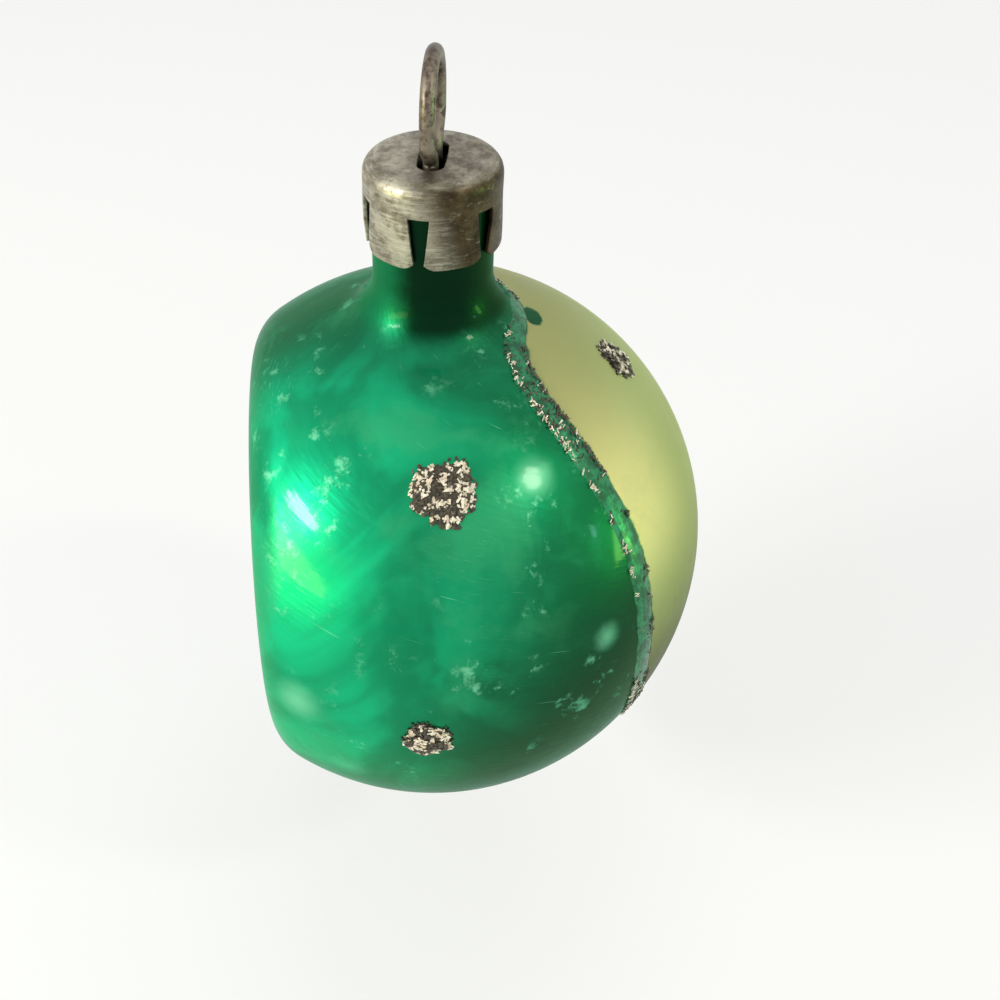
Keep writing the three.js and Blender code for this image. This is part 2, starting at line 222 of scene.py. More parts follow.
def ball_surface():
    """The blown skin's outside, about the ball's centre: ball, neck, rim and fluted dish."""
    bm = bmesh.new()
    foot_angle = math.atan2(fillet_z, fillet_r)
    ball_line = arc(0, 0, BALL_R, -math.pi / 2, foot_angle, BALL_ROWS)
    fillet_line = arc(
        fillet_r, fillet_z, NECK_FILLET, foot_angle - math.pi, -math.pi, FILLET_ROWS)[1:]
    neck_rise = NECK_TOP - fillet_z
    neck_line = [(NECK_R, fillet_z + neck_rise * i / NECK_ROWS) for i in range(1, NECK_ROWS + 1)]
    line = ball_line + fillet_line + neck_line
    spun(bm, [(r * MM, 0, z * MM) for r, z in line], (0, 0, 1), BALL_COLUMNS)
    bmesh.ops.remove_doubles(bm, verts=bm.verts, dist=WELD * MM)
    cut_x = BALL_R * math.cos(rim_start) + 0.2
    geometry = bm.verts[:] + bm.edges[:] + bm.faces[:]
    bmesh.ops.bisect_plane(
        bm, geom=geometry, dist=1e-7, plane_co=(cut_x * MM, 0, 0), plane_no=(1, 0, 0), clear_inner=True,
    )
    rim = arc(rim_x, rim_r, RIM_ROUND, rim_start, math.pi, RIM_ROWS)
    lip_end = math.pi + LIP_ANGLE
    lip = arc(LIP_ROUND - DISH_PLANE, rim_r, LIP_ROUND, math.pi, lip_end, LIP_ROWS)[1:]
    dish = []
    for i in range(1, DISH_ROWS + 1):
        share = 1 - i / DISH_ROWS
        x = dish_centre_x - (dish_centre_x - dish_mouth_x) * share ** dish_power
        dish.append((x, dish_mouth_r * share))
    spun(bm, [(x * MM, 0, r * MM) for x, r in rim + lip + dish], (1, 0, 0), BALL_COLUMNS)
    bmesh.ops.remove_doubles(bm, verts=bm.verts, dist=WELD * MM)
    ball_loop = open_edges_near(bm, cut_x * MM)
    rim_loop = open_edges_near(bm, BALL_R * math.cos(rim_start) * MM)
    bmesh.ops.bridge_loops(bm, edges=ball_loop + rim_loop)
    return bm


def scoop_flutes(bm):
    """Presses the flutes into the dish, along its slope, and gives each place its depth in the dish."""
    depth = bm.verts.layers.float.new("dish")
    for vert in bm.verts:
        x, y, z = vert.co / MM
        radius = math.hypot(y, z)
        share = radius / dish_mouth_r
        if x > dish_centre_x + 0.01 or share > 1.0001 or x < -DISH_PLANE - 0.01:
            continue
        on_dish = dish_centre_x - (dish_centre_x - dish_mouth_x) * share ** dish_power
        if abs(x - on_dish) > 0.02:
            continue
        vert[depth] = 1 - share
        along = max(0, (share - PLAIN_CENTRE) / (1 - PLAIN_CENTRE))
        scoop = FLUTE_DEPTH * math.sin(math.pi * along) * abs(math.sin(FLUTES * math.atan2(z, y) / 2))
        if scoop < 1e-6:
            continue
        slope = dish_power * (dish_centre_x - dish_mouth_x) * share ** (dish_power - 1) / dish_mouth_r
        inward = Vector((1, slope * y / radius, slope * z / radius)).normalized()
        vert.co += inward * scoop * MM


def mark_colour_edge(bm):
    """Gives each place its distance from the edge of the colours, in metres, more than 0 on the pale side."""
    distance = bm.verts.layers.float.new("colour_edge")
    level, square = square_to(EDGE_AXIS)
    for vert in bm.verts:
        unit = vert.co.normalized()
        angle = math.acos(max(-1, min(1, unit.dot(EDGE_AXIS))))
        turn = math.atan2(unit.dot(square), unit.dot(level))
        vert[distance] = (edge_angle(turn) - angle) * BALL_R * MM


def glass_ball(material, inside):
    bm = ball_surface()
    scoop_flutes(bm)
    mark_colour_edge(bm)
    for vert in bm.verts:
        vert.co = ball_centre + sagged(vert.co.copy())
    bmesh.ops.recalc_face_normals(bm, faces=bm.faces)
    piece = finished(bm, "glass_ball", "ball", "glass_body", material)
    piece.data.materials.append(inside)
    wall = piece.modifiers.new("wall", "SOLIDIFY")
    wall.thickness = GLASS_WALL * MM
    wall.offset = -1
    wall.material_offset = 1
    wall.material_offset_rim = 1
    return piece


def on_neck(bm, angle):
    """Turns and lifts what was built about the top of the cap to its place."""
    place = Matrix.Translation((0, 0, CAP_TOP_Z * MM)) @ Matrix.Rotation(angle, 4, "Z")
    bmesh.ops.transform(bm, matrix=place, verts=bm.verts)


CAP_COLUMNS = 96
SLIT_COLUMNS = 4
SKIRT_ROWS = 10
# The rounding of the sheet's edges, and of the tabs' corners across and up, in millimetres.
CAP_EDGE_ROUND = 0.07
TAB_CORNER = 0.9
TAB_CORNER_LIFT = 0.42


def cap_angle(column, z):
    """Where a column of the skirt stands: four of the sixteen columns of each tab span its slit."""
    per_tab = CAP_COLUMNS // TABS
    tab, inside = divmod(column + per_tab // 2, per_tab)
    inside -= per_tab // 2
    down = min(1, max(0, (SLIT_TOP_Z - z) / (SLIT_TOP_Z + CAP_HEIGHT)))
    width = SLIT_TOP_WIDTH + (SLIT_FOOT_WIDTH - SLIT_TOP_WIDTH) * down
    half = width / 2 / CAP_R
    edge = SLIT_COLUMNS / 2
    pitch = math.pi / TABS
    if abs(inside) <= edge:
        angle = half * inside / edge
    else:
        share = (abs(inside) - edge) / (per_tab / 2 - edge)
        angle = math.copysign(half + (pitch - half) * share, inside)
    return tab * 2 * pitch + angle - math.pi / 2


def from_slit_angle(point):
    """How far round the cap a point is from the middle of the nearest slit."""
    pitch = 2 * math.pi / TABS
    turn = (math.atan2(point.y, point.x) + math.pi / 2) % pitch
    return min(turn, pitch - turn)


def cap_shell(material):
    bm = bmesh.new()
    slot_straight = WIRE_SLOT_HALF_LENGTH - WIRE_SLOT_HALF_WIDTH
    slot_radius = WIRE_SLOT_HALF_WIDTH * MM
    start = bmesh.ops.create_circle(bm, segments=CAP_COLUMNS, radius=slot_radius, cap_ends=False)
    for vert in start["verts"]:
        lean = max(-1, min(1, vert.co.y / (0.35 * slot_radius)))
        vert.co.y += slot_straight * MM * lean
    turned = Matrix.Rotation(EYE_ANGLE - CAP_ANGLE, 3, "Z")
    bmesh.ops.rotate(bm, verts=bm.verts, cent=(0, 0, 0), matrix=turned)
    rings = [(3.0, 0.0)] + arc(CAP_R - CAP_SHOULDER, -CAP_SHOULDER, CAP_SHOULDER, math.pi / 2, 0, 8)
    rings += [(CAP_R, -1.5), (CAP_R, SLIT_TOP_Z)]
    waist_z = (SLIT_TOP_Z - CAP_HEIGHT) / 2
    for i in range(1, SKIRT_ROWS + 1):
        z = SLIT_TOP_Z - (SLIT_TOP_Z + CAP_HEIGHT) * i / SKIRT_ROWS
        bend = max(0, (waist_z - z) / (waist_z + CAP_HEIGHT))
        rings.append((CAP_R + (CAP_FOOT_R - CAP_R) * bend, z))
    edge = bm.edges[:]
    for radius, z in rings:
        grown = bmesh.ops.extrude_edge_only(bm, edges=edge)["geom"]
        edge = [g for g in grown if isinstance(g, bmesh.types.BMEdge)]
        verts = [g for g in grown if isinstance(g, bmesh.types.BMVert)]
        verts.sort(key=lambda v: math.atan2(v.co.y, v.co.x) % (2 * math.pi))
        first = min(range(len(verts)), key=lambda i: abs(verts[i].co.x) if verts[i].co.y < 0 else 1)
        for column in range(CAP_COLUMNS):
            vert = verts[(first + column) % CAP_COLUMNS]
            angle = cap_angle(column, z)
            vert.co = Vector((radius * math.cos(angle), radius * math.sin(angle), z)) * MM
    slits = []
    for face in bm.faces:
        centre = face.calc_center_median() / MM
        if centre.z > SLIT_TOP_Z:
            continue
        turn = from_slit_angle(centre)
        down = (SLIT_TOP_Z - centre.z) / (SLIT_TOP_Z + CAP_HEIGHT)
        half = (SLIT_TOP_WIDTH + (SLIT_FOOT_WIDTH - SLIT_TOP_WIDTH) * down) / 2 / CAP_R
        if turn < half:
            slits.append(face)
    bmesh.ops.delete(bm, geom=slits, context="FACES")
    for vert in bm.verts:
        x, y, z = vert.co / MM
        if z > SLIT_TOP_Z:
            continue
        turn = math.atan2(y, x)
        from_slit = from_slit_angle(vert.co) * CAP_R - SLIT_FOOT_WIDTH / 2
        rounding = max(0, 1 - from_slit / TAB_CORNER)
        foot = max(0, (waist_z - z) / (waist_z + CAP_HEIGHT))
        lift = TAB_CORNER_LIFT * rounding ** 2 * foot
        dent = 0.05 * math.sin(3 * turn + 1.1) * foot + 0.03 * math.sin(7 * turn + z)
        vert.co = Vector((x * (1 + dent / CAP_R), y * (1 + dent / CAP_R), z + lift)) * MM
    on_neck(bm, CAP_ANGLE)
    bmesh.ops.recalc_face_normals(bm, faces=bm.faces)
    top = max(bm.faces, key=lambda f: f.calc_center_median().z)
    if top.normal.z < 0:
        bmesh.ops.reverse_faces(bm, faces=bm.faces)
    piece = finished(bm, "cap_shell", "cap", "cap", material)
    sheet = piece.modifiers.new("sheet", "SOLIDIFY")
    sheet.thickness = CAP_SHEET * MM
    sheet.offset = -1
    edges = piece.modifiers.new("edges", "BEVEL")
    edges.width = CAP_EDGE_ROUND * MM
    edges.segments = 2
    edges.limit_method = "ANGLE"
    edges.angle_limit = math.radians(50)
    edges.harden_normals = True
    return piece


def wire_loop(material):
    """The sprung wire: up one leg, round the eye and down the other, in one plane."""
    curve = bpy.data.curves.new("wire_path", "CURVE")
    curve.dimensions = "3D"
    curve.bevel_depth = WIRE_D / 2 * MM
    curve.bevel_resolution = 6
    curve.resolution_u = 14
    curve.use_fill_caps = True
    ease = (FLARE_TOP_Z - FLARE_FOOT_Z) / 2
    rise = SHOULDER_Z / 2
    side_z = EYE_TOP_Z - EYE_Y
    pull = EYE_Y * QUARTER_HANDLE
    # Each place on one side: across, up, and how far its handles reach down and up.
    places = [
        (LEG_Y, LEG_FOOT_Z, 1, 2),
        (LEG_Y, FLARE_FOOT_Z, 2, ease),
        (SLOT_LEG_Y, FLARE_TOP_Z, ease, 0.1),
        (SLOT_LEG_Y, 0, 0.1, rise),
        (EYE_Y, SHOULDER_Z, rise, 0.5),
        (EYE_Y, side_z, 0.5, pull),
    ]
    spline = curve.splines.new("BEZIER")
    spline.bezier_points.add(2 * len(places))
    knots = [(-y, z, down, up) for y, z, down, up in places]
    knots.append((0, EYE_TOP_Z, 0, 0))
    knots += [(y, z, -up, -down) for y, z, down, up in reversed(places)]
    for knot, (y, z, before, after) in zip(spline.bezier_points, knots):
        knot.handle_left_type = "FREE"
        knot.handle_right_type = "FREE"
        knot.co = Vector((0, y, z)) * MM
        knot.handle_left = Vector((0, y, z - before)) * MM
        knot.handle_right = Vector((0, y, z + after)) * MM
        if y == 0:
            knot.handle_left = Vector((0, -pull, z)) * MM
            knot.handle_right = Vector((0, pull, z)) * MM
    path = bpy.data.objects.new("wire_path", curve)
    bpy.context.scene.collection.objects.link(path)
    bpy.context.view_layer.update()
    mesh = bpy.data.meshes.new_from_object(path.evaluated_get(bpy.context.evaluated_depsgraph_get()))
    bm = bmesh.new()
    bm.from_mesh(mesh)
    bpy.data.objects.remove(path)
    bmesh.ops.remove_doubles(bm, verts=bm.verts, dist=0.001 * MM)
    bmesh.ops.recalc_face_normals(bm, faces=bm.faces)
    on_neck(bm, EYE_ANGLE)
    return finished(bm, "wire_hanger", "hanger", "hanger_wire", material)


# Glitter

# Flakes of a dot: over it, for a radius of 1 mm, and dark ones round its rim, for each mm of radius.
DOT_FLAKES = 85
RIM_FLAKES = 13
# Flakes tried along the stripe: the first share is pale, the next one, up to the second limit, dark.
STRIPE_FLAKES = 5600
PALE_LIMIT = 0.2
DARK_LIMIT = 0.42


def add_flake(bm, tone, place, outward, heading, size, shade, rng):
    """One splinter of glass, a few tenths of a millimetre, lying on the glue at a slight tilt."""
    level, square = square_to(outward)
    along = level * math.cos(heading) + square * math.sin(heading)
    side = outward.cross(along).normalized()
    basis = Matrix((along, side, outward)).transposed().to_4x4()
    tilt = Matrix.Rotation(rng.uniform(-0.35, 0.35), 4, "X")
    tilt = tilt @ Matrix.Rotation(rng.uniform(-0.3, 0.3), 4, "Y")
    length, width, thick = size
    scale = Matrix.Diagonal((length * MM, width * MM, thick * MM, 1))
    made = bmesh.ops.create_cube(bm, size=1, matrix=Matrix.Translation(place) @ basis @ tilt @ scale)
    for vert in made["verts"]:
        away = vert.co - place
        vert.co = place + away * rng.uniform(0.55, 1.1)
        for face in vert.link_faces:
            face[tone] = shade


def flake_shade(place, pale, rng):
    """A flake's tone from 0, dark brown, to 1, pale: alike in patches, with a given lean to pale."""
    patch = noise.noise(place / (0.62 * MM)) + 0.5 * noise.noise(place / (0.25 * MM))
    if patch + pale + rng.uniform(-0.12, 0.12) > 0:
        return rng.uniform(0.62, 1)
    return rng.uniform(0, 0.42)


def patch_outline(angle, seed):
    lobes = 0.08 * math.sin(5 * angle + seed) + 0.06 * math.sin(3 * angle + 2 * seed)
    return 1 + lobes + 0.04 * math.sin(9 * angle)


def glue_patch(bm, tone, centre, radius, seed):
    """The low dome of dark glue under a dot's flakes."""
    level, square = square_to(centre)
    made = bmesh.ops.create_circle(bm, segments=40, radius=1, cap_ends=False)
    ring = made["verts"]
    faces = []
    rings = [(1.0, 0.0), (0.97, 0.1), (0.8, 0.18), (0.5, 0.24), (0.2, 0.26)]
    angles = {vert: math.atan2(vert.co.y, vert.co.x) for vert in ring}

    def settle(vert, angle, share, height):
        spread = share * patch_outline(angle, seed) * radius * 0.93 / BALL_R
        direction = centre + (level * math.cos(angle) + square * math.sin(angle)) * spread
        vert.co = on_glass(direction, height)

    edge = list({e for v in ring for e in v.link_edges})
    for vert, angle in angles.items():
        settle(vert, angle, *rings[0])
    for share, height in rings[1:]:
        before = {tuple(v.co): angle for v, angle in angles.items()}
        grown = bmesh.ops.extrude_edge_only(bm, edges=edge)["geom"]
        edge = [g for g in grown if isinstance(g, bmesh.types.BMEdge)]
        faces += [g for g in grown if isinstance(g, bmesh.types.BMFace)]
        fresh = [g for g in grown if isinstance(g, bmesh.types.BMVert)]
        angles = {vert: before[tuple(vert.co)] for vert in fresh}
        for vert, angle in angles.items():
            settle(vert, angle, share, height)
    faces += bmesh.ops.contextual_create(bm, geom=edge)["faces"]
    bmesh.ops.recalc_face_normals(bm, faces=faces)
    out = sum((f.normal for f in faces), Vector())
    if out.dot(centre) < 0:
        bmesh.ops.reverse_faces(bm, faces=faces)
    for face in faces:
        face[tone] = 0.2


def glitter_dot(side, index, centre, radius, material):
    node = f"glitter_dot_{side}_{index}"
    rng = random.Random(f"{side} {index}")
    seed = rng.uniform(0, 6)
    bm = bmesh.new()
    tone = bm.faces.layers.float.new("tone")
    glue_patch(bm, tone, centre, radius, seed)
    level, square = square_to(centre)
    lie = rng.uniform(0, math.pi)

    def settle(share, angle, height, shade=None):
        spread = share * patch_outline(angle, seed) * radius / BALL_R
        direction = (centre + (level * math.cos(angle) + square * math.sin(angle)) * spread).normalized()
        spot = on_glass(direction, height)
        size = (rng.uniform(0.2, 0.5), rng.uniform(0.12, 0.3), rng.uniform(0.04, 0.09))
        if shade is None:
            shade = flake_shade(spot, 0.08 * share - 0.12, rng)
        add_flake(bm, tone, spot, direction, lie + rng.gauss(0, 0.8), size, shade, rng)

    for _ in range(round(DOT_FLAKES * radius ** 2)):
        share = math.sqrt(rng.random())
        settle(share, rng.uniform(0, 2 * math.pi), 0.24 * (1 - share ** 3) + rng.uniform(0.04, 0.13))
    for _ in range(round(RIM_FLAKES * radius)):
        settle(rng.uniform(0.98, 1.1), rng.gauss(3.6, 1.1) + seed, 0.05, rng.uniform(0, 0.15))
    return finished(bm, f"{node}_flakes", "ball", node, material, smooth=False)


# Where glitter is left thick along the stripe: degrees round the edge's axis, and how far to each side.
THICK_GLITTER = [(122, 15), (73, 9), (20, 14), (-42, 10), (-98, 18), (-155, 8)]


def left_thick(turn):
    """How thick the glitter is left at a turn along the edge, from 0 to 1."""
    thick = 0
    for middle, span in THICK_GLITTER:
        away = (math.degrees(turn) - middle + 180) % 360 - 180
        thick = max(thick, math.exp(-((away / span) ** 4)))
    return thick


def glitter_stripe(material):
    """What is left of the stripe: thin glue with a pale line, a dark outer border and mixed thick patches."""
    rng = random.Random(20)
    bm = bmesh.new()
    tone = bm.faces.layers.float.new("tone")
    neck_edge = math.atan2(NECK_R + NECK_FILLET / 2, fillet_z)
    stations = 360
    rows = 5

    def reach(turn):
        near = round_axis(EDGE_AXIS, edge_angle(turn), turn)
        return min(BAND_WIDTH / BALL_R, near.angle(UP) - neck_edge)

    def place(turn, share, height):
        direction = round_axis(EDGE_AXIS, edge_angle(turn) + reach(turn) * share, turn)
        return on_glass(direction, height), direction

    ring = bmesh.ops.create_circle(bm, segments=stations, radius=1, cap_ends=False)["verts"]
    turns = [math.atan2(v.co.y, v.co.x) for v in ring]
    edge = list({e for v in ring for e in v.link_edges})
    heights = [0.0, 0.1, 0.13, 0.1, 0.0]
    line = list(zip(ring, turns))
    faces = []
    for row in range(rows):
        if row > 0:
            before = {tuple(v.co): t for v, t in line}
            grown = bmesh.ops.extrude_edge_only(bm, edges=edge)["geom"]
            edge = [g for g in grown if isinstance(g, bmesh.types.BMEdge)]
            faces += [g for g in grown if isinstance(g, bmesh.types.BMFace)]
            line = [(g, before[tuple(g.co)]) for g in grown if isinstance(g, bmesh.types.BMVert)]
        for vert, turn in line:
            share = row / (rows - 1)
            ragged = 0.05 * math.sin(31 * turn) + 0.05 * math.sin(53 * turn + 1)
            share = share + ragged * (1 if row == rows - 1 else 0.3)
            vert.co = place(turn, min(1, max(0, share)), heights[row])[0]
    bmesh.ops.recalc_face_normals(bm, faces=faces)
    out = sum((f.normal.dot((f.calc_center_median() - ball_centre).normalized()) for f in faces))
    if out < 0:
        bmesh.ops.reverse_faces(bm, faces=faces)
    for face in faces:
        face[tone] = -1
    for _ in range(STRIPE_FLAKES):
        turn = rng.uniform(-math.pi, math.pi)
        thick = left_thick(turn)
        kind = rng.random()
        clump = noise.noise(place(turn, 0.5, 0)[0] / (1.3 * MM) + Vector((kind > PALE_LIMIT, 0, 0)))
        if kind < PALE_LIMIT:
            share, pale = rng.gauss(0.88, 0.07), 0.5
            kept = clump + 0.6 * thick > 0.1
        elif kind < DARK_LIMIT:
            share, pale = rng.gauss(0.08, 0.07), -0.6
            kept = clump + 0.6 * thick > 0.1
        else:
            share, pale = rng.uniform(0.04, 0.98), -0.3
            kept = rng.random() < 0.9 * thick + 0.03
        if not kept:
            continue
        spot, outward = place(turn, min(1.04, max(0, share)), rng.uniform(0.07, 0.18))
        size = (rng.uniform(0.14, 0.5), rng.uniform(0.05, 0.14), rng.uniform(0.03, 0.06))
        add_flake(bm, tone, spot, outward, rng.gauss(0.5, 0.6), size, flake_shade(spot, pale, rng), rng)
    return finished(bm, "glitter_stripe", "ball", "glitter_band", material, smooth=False)


# Finishes

class Finish:
    """A material's nodes, with short ways to add the ones that the finishes below share."""

    def __init__(self, name):
        self.material = bpy.data.materials.new(name)
        self.material.use_nodes = True
        self.tree = self.material.node_tree
        self.shader = self.tree.nodes["Principled BSDF"]
        self.place = self.tree.nodes.new("ShaderNodeTexCoord").outputs["Object"]

    def link(self, value, socket):
        if isinstance(value, bpy.types.NodeSocket):
            self.tree.links.new(value, socket)
        elif value is not None:
            socket.default_value = value

    def math(self, operation, a, b=None, c=None):
        node = self.tree.nodes.new("ShaderNodeMath")
        node.operation = operation
        for socket, value in zip(node.inputs, (a, b, c)):
            self.link(value, socket)
        return node.outputs[0]

    def vector(self, operation, a, b=None, output="Vector"):
        node = self.tree.nodes.new("ShaderNodeVectorMath")
        node.operation = operation
        self.link(a, node.inputs[0])
        self.link(b, node.inputs[1])
        return node.outputs[output]

    def attribute(self, name):
        node = self.tree.nodes.new("ShaderNodeAttribute")
        node.attribute_name = name
        return node.outputs["Fac"]

    def noise(self, place, scale, detail=3.0, roughness=0.5, distortion=0.0):
        node = self.tree.nodes.new("ShaderNodeTexNoise")
        self.link(place, node.inputs["Vector"])
        node.inputs["Scale"].default_value = scale
        node.inputs["Detail"].default_value = detail
        node.inputs["Roughness"].default_value = roughness
        node.inputs["Distortion"].default_value = distortion
        return node.outputs["Fac"]

    def between(self, value, low, high, out_low=0.0, out_high=1.0, smooth=True):
        """Maps a value from low..high to the out range, held at its ends."""
        node = self.tree.nodes.new("ShaderNodeMapRange")
        node.interpolation_type = "SMOOTHSTEP" if smooth else "LINEAR"
        ends = {"From Min": low, "From Max": high, "To Min": out_low, "To Max": out_high}
        for name, number in ends.items():
            node.inputs[name].default_value = number
        self.link(value, node.inputs["Value"])
        return node.outputs["Result"]

    def blend(self, amount, a, b):
        node = self.tree.nodes.new("ShaderNodeMix")
        node.data_type = "RGBA"
        self.link(amount, node.inputs[0])
        self.link(a, node.inputs[6])
        self.link(b, node.inputs[7])
        return node.outputs[2]

    def scaled(self, place, size):
        node = self.tree.nodes.new("ShaderNodeMapping")
        self.link(place, node.inputs["Vector"])
        node.inputs["Scale"].default_value = size
        return node.outputs[0]

    def centred(self, point):
        node = self.tree.nodes.new("ShaderNodeMapping")
        self.link(self.place, node.inputs["Vector"])
        node.inputs["Location"].default_value = [-c for c in point]
        return node.outputs[0]

    def unrolled(self, point, radius, lean=0.0):
        """The surface laid flat round Z: metres round, metres up."""
        node = self.tree.nodes.new("ShaderNodeSeparateXYZ")
        self.link(self.centred(point), node.inputs[0])
        x, y, z = node.outputs
        turn = self.math("ARCTAN2", y, x)
        round_it = self.math("MULTIPLY", turn, radius)
        up = self.math("MULTIPLY_ADD", round_it, lean, z)
        flat = self.tree.nodes.new("ShaderNodeCombineXYZ")
        self.link(round_it, flat.inputs[0])
        self.link(up, flat.inputs[1])
        return flat.outputs[0]

    def bump(self, height, strength, distance, layer="Normal"):
        node = self.tree.nodes.new("ShaderNodeBump")
        self.link(height, node.inputs["Height"])
        node.inputs["Strength"].default_value = strength
        node.inputs["Distance"].default_value = distance
        self.link(node.outputs["Normal"], self.shader.inputs[layer])

    def set(self, **values):
        for name, value in values.items():
            self.link(value, self.shader.inputs[name.replace("_", " ")])


def shade(red, green, blue):
    """A colour as it shows on screen, from 0 to 255, as the light that it stands for."""
    light = [c / 255 for c in (red, green, blue)]
    return [c / 12.92 if c <= 0.04045 else ((c + 0.055) / 1.055) ** 2.4 for c in light] + [1.0]


# Painted soft highlights on the lacquer: the way out from the ball's centre, the radius in mm, how pale.
PAINTED_SOFT_HIGHLIGHTS = [
    (headed(-121, 0), 3.4, 0.6), (headed(-58, 12), 2.2, 0.45), (headed(-66, 47), 2.6, 0.35),
    (headed(-112, -20), 3, 0.3),
]


def lacquer_finish():
    f = Finish("green_lacquer_and_pearl")
    centre = tuple(ball_centre)
    edge = f.attribute("colour_edge")
    dish = f.attribute("dish")
    around = f.centred(centre)
    wobble = f.noise(f.place, 900, 3)
    edge = f.math("MULTIPLY_ADD", f.math("SUBTRACT", wobble, 0.5), 0.0007, edge)
    drip_place = headed(-5.3, 70.4) * BALL_R * MM
    flattened = Vector((1, 0.62, 1))
    drip = f.vector("DISTANCE", f.scaled(around, tuple(flattened)), tuple(drip_place * flattened), "Value")
    drip = f.math("MULTIPLY_ADD", f.math("SUBTRACT", wobble, 0.5), 0.0005, drip)
    drip_mask = f.between(drip, 0.00064, 0.00082, 1, 0)
    pearl = f.between(edge, -0.00006, 0.00022)
    pearl = f.math("MULTIPLY", pearl, f.math("SUBTRACT", 1.0, drip_mask))

    split = f.tree.nodes.new("ShaderNodeSeparateXYZ")
    f.link(around, split.inputs[0])
    x, y, z = split.outputs

    clouds = f.noise(around, 75, 4, 0.55, 0.9)
    haze = f.noise(around, 230, 5, 0.65, 0.8)
    # Painted light: the green is lighter towards the left, where the light falls, and darker to the right.
    painted_light_left = f.between(f.math("MULTIPLY_ADD", clouds, -0.011, x), 0.004, -0.018)
    green = f.blend(painted_light_left, shade(6, 104, 62), shade(14, 190, 132))
    # Painted shade: the green darkens towards the back and the top.
    painted_shade_back = f.math("MULTIPLY_ADD", z, 0.5, y)
    green = f.blend(f.between(painted_shade_back, -0.001, 0.011, 0, 0.9), green, shade(8, 74, 44))
    green = f.blend(f.between(clouds, 0.55, 0.38, 0, 0.5), green, shade(0, 88, 52))
    green = f.blend(f.between(haze, 0.48, 0.7, 0, 0.3), green, shade(34, 154, 106))
    worn = f.between(f.noise(around, 110, 5, 0.6, 0.4), 0.52, 0.68, 0, 0.36)
    green = f.blend(worn, green, shade(64, 162, 108))
    # Painted shade: the green darkens towards the lower right.
    painted_shade_low_right = f.math("MULTIPLY_ADD", z, -0.6, f.math("MULTIPLY", x, 0.8))
    green = f.blend(f.between(painted_shade_low_right, -0.004, 0.01, 0, 0.9), green, shade(0, 48, 22))

    flat = f.unrolled(centre, BALL_R * MM, 0.24)
    ripples = f.noise(f.scaled(flat, (420, 3000, 1)), 1.0, 1, 0.5)
    rubbed = f.between(f.noise(around, 62, 2), 0.45, 0.62)
    streaks = f.noise(f.scaled(flat, (720, 6200, 1)), 1.0, 3, 0.6)
    streaks = f.math("MULTIPLY", f.between(streaks, 0.58, 0.68), f.math("MULTIPLY", rubbed, painted_light_left))
    long_marks = f.between(f.noise(f.scaled(flat, (120, 4200, 1)), 1.0, 2, 0.5), 0.72, 0.76)
    smudges = f.between(f.noise(around, 420, 5, 0.7), 0.57, 0.7)
    smudges = f.math("MULTIPLY", smudges, f.between(f.noise(around, 140, 2), 0.44, 0.58))
    # The pale marks mix real scratches, long marks and smudges with painted sheen: the streaks show only on
    # the painted lit side.
    marks_and_sheen = f.math("MAXIMUM", f.math("MULTIPLY", streaks, 0.2), f.math("MULTIPLY", long_marks, 0.3))
    marks_and_sheen = f.math("MAXIMUM", marks_and_sheen, f.math("MULTIPLY", smudges, 0.5))
    # Painted highlights: pale soft spots laid into the marks.
    for place, radius, strength in PAINTED_SOFT_HIGHLIGHTS:
        away = f.vector("DISTANCE", around, tuple(place * BALL_R * MM), "Value")
        patch = f.between(f.math("MULTIPLY_ADD", haze, 0.0012, away), 0.0006, radius * MM, strength, 0)
        marks_and_sheen = f.math("MAXIMUM", marks_and_sheen, patch)
    green = f.blend(marks_and_sheen, green, shade(140, 226, 184))

    # Painted reflection and shade on the neck: near-black green, a lighter green streak on its left and
    # darker green on its right.
    across_neck = f.math("MULTIPLY_ADD", wobble, 0.0008, x)
    painted_neck_reflection = f.blend(f.between(across_neck, -0.0012, -0.0036), shade(0, 38, 16), shade(20, 118, 74))
    painted_neck_reflection = f.blend(f.between(across_neck, 0.0022, 0.004), painted_neck_reflection, shade(8, 46, 20))
    neck = f.between(z, (fillet_z - 3.9) * MM, (fillet_z - 2.2) * MM)
    green = f.blend(neck, green, painted_neck_reflection)
    green = f.blend(f.between(dish, 0.0, 0.25, 0, 0.5), green, shade(50, 176, 120))
    green = f.blend(drip_mask, green, shade(0, 70, 42))

    # Painted shade: the cream darkens towards the far right.
    cream = f.blend(f.between(x, 0.012, 0.02), shade(190, 196, 136), shade(164, 168, 104))
    # Painted light: a warm glow along the colour edge, on its upper part.
    painted_glow_near_edge = f.math("MULTIPLY", f.between(edge, 0.0, 0.01, 1, 0), f.between(z, 0.004, 0.012))
    cream = f.blend(painted_glow_near_edge, cream, shade(230, 216, 150))
    # Painted shade: the cream turns greyer towards the top.
    cream = f.blend(f.between(z, 0.013, 0.021, 0, 0.75), cream, shade(132, 138, 88))
    cream = f.blend(f.between(haze, 0.45, 0.7, 0, 0.16), cream, shade(178, 178, 136))
    # Painted shade: the cream darkens towards the bottom.
    cream = f.blend(f.between(z, -0.006, 0.01, 0.92, 0), cream, shade(62, 58, 26))

